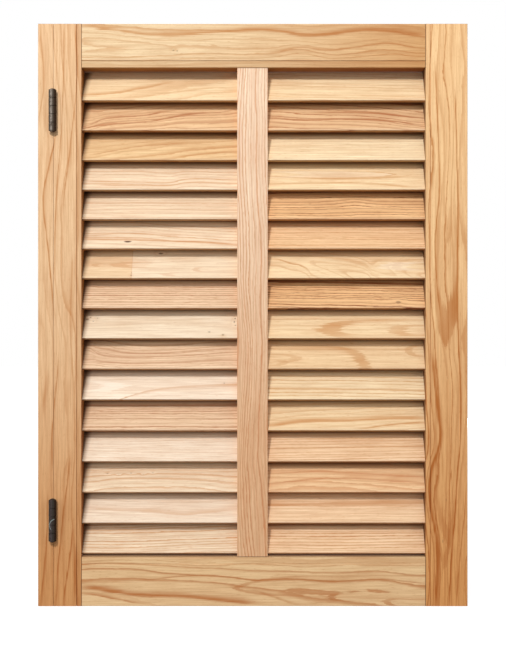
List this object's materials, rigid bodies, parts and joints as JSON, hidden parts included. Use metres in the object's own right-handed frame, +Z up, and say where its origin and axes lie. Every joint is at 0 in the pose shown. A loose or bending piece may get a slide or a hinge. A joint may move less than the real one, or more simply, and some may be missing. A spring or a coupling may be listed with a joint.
{
  "type": "louvred shutter",
  "caption": "Louvred pine shutter leaf with fixed slats in twin bays, swung on butt hinges from a narrow hanging strip that is fixed to the side of a window or cupboard opening.",
  "frame": {"origin": "middle of the hanging strip's outer face, which lies on the side of the opening", "axes": "+X across the leaf to the closing edge, +Z up, the front with the hinge knuckles faces -Y"},
  "size_m": [0.45, 0.0353, 0.61],
  "materials": {
    "frame_pine": "planed, clear satin",
    "slat_pine": "planed, clear satin",
    "hinge_bronze": "aged dark bronze",
    "screw_brass": "dull",
    "dowel_beech": "turned, bare"
  },
  "bodies": {
    "frame": {"hanging_strip": "frame_pine", "upper_hinge_frame_plate": "hinge_bronze", "lower_hinge_frame_plate": "hinge_bronze", "upper_hinge_pin": "hinge_bronze", "lower_hinge_pin": "hinge_bronze", "frame_hinge_screws": "screw_brass"},
    "leaf": {"hinge_stile": "frame_pine", "closing_stile": "frame_pine", "top_rail": "frame_pine", "bottom_rail": "frame_pine", "mullion": "frame_pine", "slat_left_01": "slat_pine", "slat_left_02": "slat_pine", "slat_left_03": "slat_pine", "slat_left_04": "slat_pine", "slat_left_05": "slat_pine", "slat_left_06": "slat_pine", "slat_left_07": "slat_pine", "slat_left_08": "slat_pine", "slat_left_09": "slat_pine", "slat_left_10": "slat_pine", "slat_left_11": "slat_pine", "slat_left_12": "slat_pine", "slat_left_13": "slat_pine", "slat_left_14": "slat_pine", "slat_left_15": "slat_pine", "slat_left_16": "slat_pine", "slat_right_01": "slat_pine", "slat_right_02": "slat_pine", "slat_right_03": "slat_pine", "slat_right_04": "slat_pine", "slat_right_05": "slat_pine", "slat_right_06": "slat_pine", "slat_right_07": "slat_pine", "slat_right_08": "slat_pine", "slat_right_09": "slat_pine", "slat_right_10": "slat_pine", "slat_right_11": "slat_pine", "slat_right_12": "slat_pine", "slat_right_13": "slat_pine", "slat_right_14": "slat_pine", "slat_right_15": "slat_pine", "slat_right_16": "slat_pine", "upper_hinge_leaf_plate": "hinge_bronze", "lower_hinge_leaf_plate": "hinge_bronze", "leaf_hinge_screws": "screw_brass", "corner_dowels": "dowel_beech", "mullion_dowels": "dowel_beech"}
  },
  "joints": [
    {"name": "leaf_swing", "type": "hinge", "parent": "frame", "child": "leaf", "pos_m": [0.01605, -0.0178, 0], "axis": [0, 0, -1], "range_deg": [0, 180]}
  ]
}
